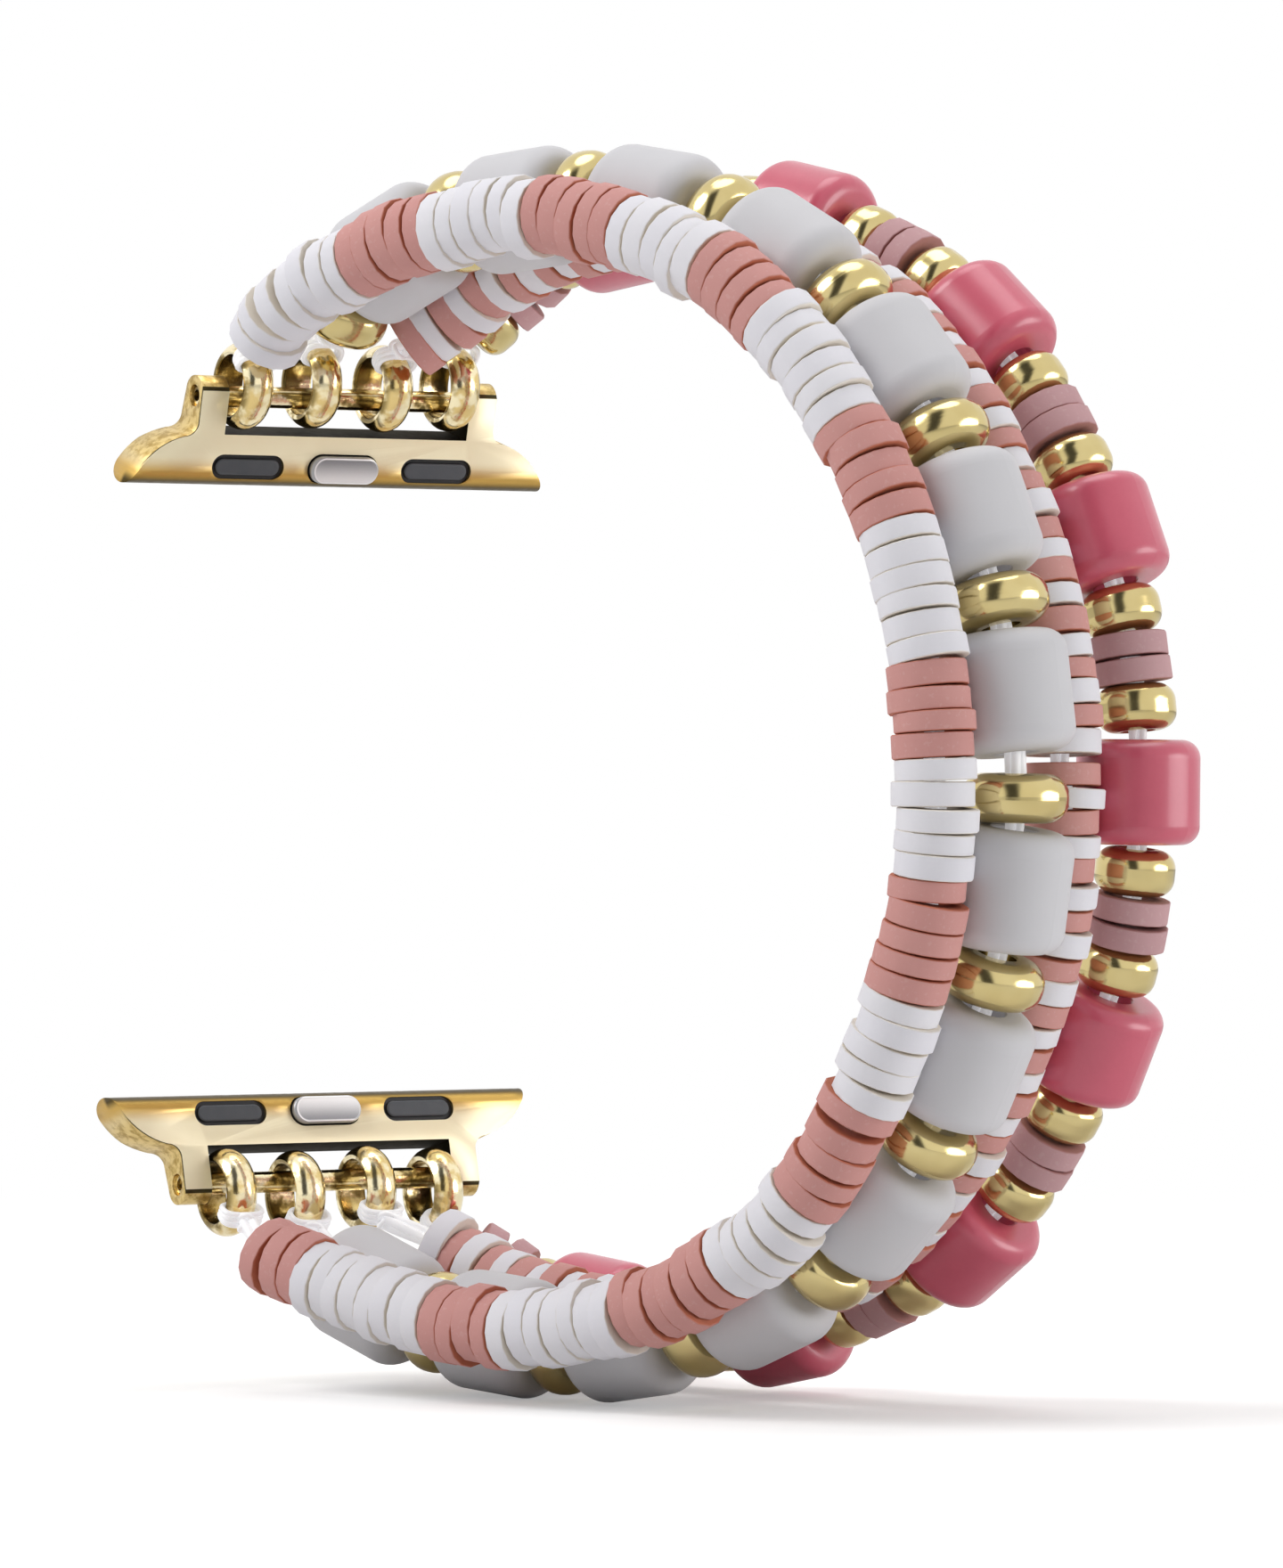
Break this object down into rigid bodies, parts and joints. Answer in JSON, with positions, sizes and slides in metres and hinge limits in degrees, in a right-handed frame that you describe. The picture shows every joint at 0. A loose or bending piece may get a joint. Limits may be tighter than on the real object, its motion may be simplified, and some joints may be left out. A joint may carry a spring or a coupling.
{
  "type": "bead watch band",
  "caption": "Stretch watch band: strands of clay discs, barrels and metal beads on clear elastic, tied to rings on the pins of two slide-in watch adapters.",
  "frame": {"origin": "under the middle of the band's box, at its lowest point", "axes": "+X from the adapters to the far side of the wrist loop, +Y across the strands, +Z from the lower adapter to the upper one"},
  "size_m": [0.0558, 0.023, 0.0624],
  "materials": {
    "gold_plate": "polished gold-coloured plate",
    "gold_satin": "satin gold-coloured plate with a bright edge",
    "gold_bead": "bright gold-coloured plate over a metal bead",
    "silver": "fine brushed, silver",
    "spring_steel": "drawn wire",
    "pad_rubber": "dark grey, smooth",
    "elastic": "clear elastic, several filaments",
    "white_clay": "matte white polymer clay",
    "pink_clay": "matte dusty pink polymer clay",
    "mauve_clay": "matte mauve polymer clay",
    "white_barrel": "rubberised matte white",
    "pink_barrel": "glossy rose pink"
  },
  "bodies": {
    "strands": {"elastic_cord_1": "elastic", "strand_1_white_discs": "white_clay", "strand_1_pink_discs": "pink_clay", "elastic_cord_2": "elastic", "gold_rondelles": "gold_bead", "elastic_cord_3": "elastic", "strand_3_pink_discs": "pink_clay", "strand_3_white_discs": "white_clay", "elastic_cord_4": "elastic", "gold_beads": "gold_bead", "mauve_discs": "mauve_clay"},
    "upper_adapter": {"upper_adapter": "gold_satin", "upper_pin": "gold_plate", "upper_pads": "pad_rubber", "upper_latch_spring": "spring_steel", "upper_latch_cover": "gold_satin"},
    "upper_latch": {"upper_latch": "silver"},
    "lower_adapter": {"lower_adapter": "gold_satin", "lower_pin": "gold_plate", "lower_pads": "pad_rubber", "lower_latch_spring": "spring_steel", "lower_latch_cover": "gold_satin"},
    "lower_latch": {"lower_latch": "silver"},
    "upper_ring_1": {"upper_ring_1": "gold_plate"},
    "lower_ring_1": {"lower_ring_1": "gold_plate"},
    "upper_ring_2": {"upper_ring_2": "gold_plate"},
    "lower_ring_2": {"lower_ring_2": "gold_plate"},
    "white_barrel_1": {"white_barrel_1": "white_barrel"},
    "white_barrel_2": {"white_barrel_2": "white_barrel"},
    "white_barrel_3": {"white_barrel_3": "white_barrel"},
    "white_barrel_4": {"white_barrel_4": "white_barrel"},
    "white_barrel_5": {"white_barrel_5": "white_barrel"},
    "white_barrel_6": {"white_barrel_6": "white_barrel"},
    "white_barrel_7": {"white_barrel_7": "white_barrel"},
    "white_barrel_8": {"white_barrel_8": "white_barrel"},
    "white_barrel_9": {"white_barrel_9": "white_barrel"},
    "white_barrel_10": {"white_barrel_10": "white_barrel"},
    "white_barrel_11": {"white_barrel_11": "white_barrel"},
    "white_barrel_12": {"white_barrel_12": "white_barrel"},
    "white_barrel_13": {"white_barrel_13": "white_barrel"},
    "white_barrel_14": {"white_barrel_14": "white_barrel"},
    "upper_ring_3": {"upper_ring_3": "gold_plate"},
    "lower_ring_3": {"lower_ring_3": "gold_plate"},
    "upper_ring_4": {"upper_ring_4": "gold_plate"},
    "lower_ring_4": {"lower_ring_4": "gold_plate"},
    "pink_barrel_1": {"pink_barrel_1": "pink_barrel"},
    "pink_barrel_2": {"pink_barrel_2": "pink_barrel"},
    "pink_barrel_3": {"pink_barrel_3": "pink_barrel"},
    "pink_barrel_4": {"pink_barrel_4": "pink_barrel"},
    "pink_barrel_5": {"pink_barrel_5": "pink_barrel"},
    "pink_barrel_6": {"pink_barrel_6": "pink_barrel"},
    "pink_barrel_7": {"pink_barrel_7": "pink_barrel"},
    "pink_barrel_8": {"pink_barrel_8": "pink_barrel"},
    "pink_barrel_9": {"pink_barrel_9": "pink_barrel"}
  },
  "joints": [
    {"name": "upper_adapter_swing", "type": "hinge", "parent": "strands", "child": "upper_adapter", "pos_m": [-0.02025, -0.0005, 0.05039], "axis": [0.342, 0.9397, 0], "range_deg": [-12, 65]},
    {"name": "lower_adapter_swing", "type": "hinge", "parent": "strands", "child": "lower_adapter", "pos_m": [-0.02146, -0.0005, 0.01024], "axis": [0.342, 0.9397, 0], "range_deg": [-65, 12]},
    {"name": "upper_latch_press", "type": "slide", "parent": "upper_adapter", "child": "upper_latch", "axis": [-0.9077, 0.3304, 0.2588], "range_m": [0, 0.0004], "stiffness_N_per_m": 300, "deforming": ["upper_latch_spring"]},
    {"name": "lower_latch_press", "type": "slide", "parent": "lower_adapter", "child": "lower_latch", "axis": [-0.9077, 0.3304, -0.2588], "range_m": [0, 0.0004], "stiffness_N_per_m": 300, "deforming": ["lower_latch_spring"]},
    {"name": "lower_ring_1_spin", "type": "hinge", "parent": "strands", "child": "lower_ring_1", "pos_m": [-0.02287, -0.00642, 0.00981], "axis": [0.342, 0.9397, 0], "continuous": true},
    {"name": "lower_ring_2_spin", "type": "hinge", "parent": "strands", "child": "lower_ring_2", "pos_m": [-0.02165, -0.00257, 0.00962], "axis": [0.342, 0.9397, 0], "continuous": true},
    {"name": "lower_ring_3_spin", "type": "hinge", "parent": "strands", "child": "lower_ring_3", "pos_m": [-0.02014, 0.00117, 0.00976], "axis": [0.342, 0.9397, 0], "continuous": true},
    {"name": "lower_ring_4_spin", "type": "hinge", "parent": "strands", "child": "lower_ring_4", "pos_m": [-0.01895, 0.00503, 0.00957], "axis": [0.342, 0.9397, 0], "continuous": true},
    {"name": "upper_ring_1_spin", "type": "hinge", "parent": "strands", "child": "upper_ring_1", "pos_m": [-0.02173, -0.00639, 0.05092], "axis": [0.342, 0.9397, 0], "continuous": true},
    {"name": "upper_ring_2_spin", "type": "hinge", "parent": "strands", "child": "upper_ring_2", "pos_m": [-0.02053, -0.00254, 0.05108], "axis": [0.342, 0.9397, 0], "continuous": true},
    {"name": "upper_ring_3_spin", "type": "hinge", "parent": "strands", "child": "upper_ring_3", "pos_m": [-0.01902, 0.0012, 0.05097], "axis": [0.342, 0.9397, 0], "continuous": true},
    {"name": "upper_ring_4_spin", "type": "hinge", "parent": "strands", "child": "upper_ring_4", "pos_m": [-0.01784, 0.00506, 0.05112], "axis": [0.342, 0.9397, 0], "continuous": true},
    {"name": "pink_barrel_1_spin", "type": "hinge", "parent": "strands", "child": "pink_barrel_1", "pos_m": [-0.00782, 0.00693, 0.05897], "axis": [0.9908, 0, 0.1353], "continuous": true},
    {"name": "pink_barrel_2_spin", "type": "hinge", "parent": "strands", "child": "pink_barrel_2", "pos_m": [0.00452, 0.00693, 0.05855], "axis": [0.972, 0, -0.2349], "continuous": true},
    {"name": "pink_barrel_3_spin", "type": "hinge", "parent": "strands", "child": "pink_barrel_3", "pos_m": [0.01552, 0.00693, 0.0528], "axis": [0.7436, 0, -0.6686], "continuous": true},
    {"name": "pink_barrel_4_spin", "type": "hinge", "parent": "strands", "child": "pink_barrel_4", "pos_m": [0.02255, 0.00693, 0.04261], "axis": [0.3752, 0, -0.9269], "continuous": true},
    {"name": "pink_barrel_5_spin", "type": "hinge", "parent": "strands", "child": "pink_barrel_5", "pos_m": [0.02486, 0.00693, 0.03026], "axis": [-0.0133, 0, -0.9999], "continuous": true},
    {"name": "pink_barrel_6_spin", "type": "hinge", "parent": "strands", "child": "pink_barrel_6", "pos_m": [0.02213, 0.00693, 0.01819], "axis": [-0.4237, 0, -0.9058], "continuous": true},
    {"name": "pink_barrel_7_spin", "type": "hinge", "parent": "strands", "child": "pink_barrel_7", "pos_m": [0.01446, 0.00693, 0.00845], "axis": [-0.7993, 0, -0.601], "continuous": true},
    {"name": "pink_barrel_8_spin", "type": "hinge", "parent": "strands", "child": "pink_barrel_8", "pos_m": [0.00308, 0.00693, 0.00362], "axis": [-0.9786, 0, -0.2058], "continuous": true},
    {"name": "pink_barrel_9_spin", "type": "hinge", "parent": "strands", "child": "pink_barrel_9", "pos_m": [-0.00924, 0.00693, 0.00344], "axis": [-0.9929, 0, 0.119], "continuous": true},
    {"name": "white_barrel_1_spin", "type": "hinge", "parent": "strands", "child": "white_barrel_1", "pos_m": [-0.01412, -0.00298, 0.05751], "axis": [0.9192, 0.0012, 0.3937], "continuous": true},
    {"name": "white_barrel_10_spin", "type": "hinge", "parent": "strands", "child": "white_barrel_10", "pos_m": [0.01675, -0.00297, 0.01051], "axis": [-0.7094, 0, -0.7048], "continuous": true},
    {"name": "white_barrel_11_spin", "type": "hinge", "parent": "strands", "child": "white_barrel_11", "pos_m": [0.00954, -0.00297, 0.00566], "axis": [-0.9208, 0, -0.39], "continuous": true},
    {"name": "white_barrel_12_spin", "type": "hinge", "parent": "strands", "child": "white_barrel_12", "pos_m": [0.00133, -0.00297, 0.00334], "axis": [-0.9875, 0, -0.1578], "continuous": true},
    {"name": "white_barrel_13_spin", "type": "hinge", "parent": "strands", "child": "white_barrel_13", "pos_m": [-0.00721, -0.00297, 0.00315], "axis": [-0.9962, 0, 0.0874], "continuous": true},
    {"name": "white_barrel_14_spin", "type": "hinge", "parent": "strands", "child": "white_barrel_14", "pos_m": [-0.0156, -0.003, 0.00473], "axis": [-0.9367, -0.0093, 0.3501], "continuous": true},
    {"name": "white_barrel_2_spin", "type": "hinge", "parent": "strands", "child": "white_barrel_2", "pos_m": [-0.00567, -0.00297, 0.05927], "axis": [0.9973, 0, 0.0737], "continuous": true},
    {"name": "white_barrel_3_spin", "type": "hinge", "parent": "strands", "child": "white_barrel_3", "pos_m": [0.00287, -0.00297, 0.05888], "axis": [0.984, 0, -0.1782], "continuous": true},
    {"name": "white_barrel_4_spin", "type": "hinge", "parent": "strands", "child": "white_barrel_4", "pos_m": [0.011, -0.00297, 0.05598], "axis": [0.8747, 0, -0.4847], "continuous": true},
    {"name": "white_barrel_5_spin", "type": "hinge", "parent": "strands", "child": "white_barrel_5", "pos_m": [0.0177, -0.00297, 0.05049], "axis": [0.6524, 0, -0.7579], "continuous": true},
    {"name": "white_barrel_6_spin", "type": "hinge", "parent": "strands", "child": "white_barrel_6", "pos_m": [0.02226, -0.00297, 0.0432], "axis": [0.3954, 0, -0.9185], "continuous": true},
    {"name": "white_barrel_7_spin", "type": "hinge", "parent": "strands", "child": "white_barrel_7", "pos_m": [0.02456, -0.00297, 0.03494], "axis": [0.1323, 0, -0.9912], "continuous": true},
    {"name": "white_barrel_8_spin", "type": "hinge", "parent": "strands", "child": "white_barrel_8", "pos_m": [0.02444, -0.00297, 0.02571], "axis": [-0.1582, 0, -0.9874], "continuous": true},
    {"name": "white_barrel_9_spin", "type": "hinge", "parent": "strands", "child": "white_barrel_9", "pos_m": [0.02177, -0.00297, 0.01753], "axis": [-0.447, 0, -0.8946], "continuous": true}
  ]
}
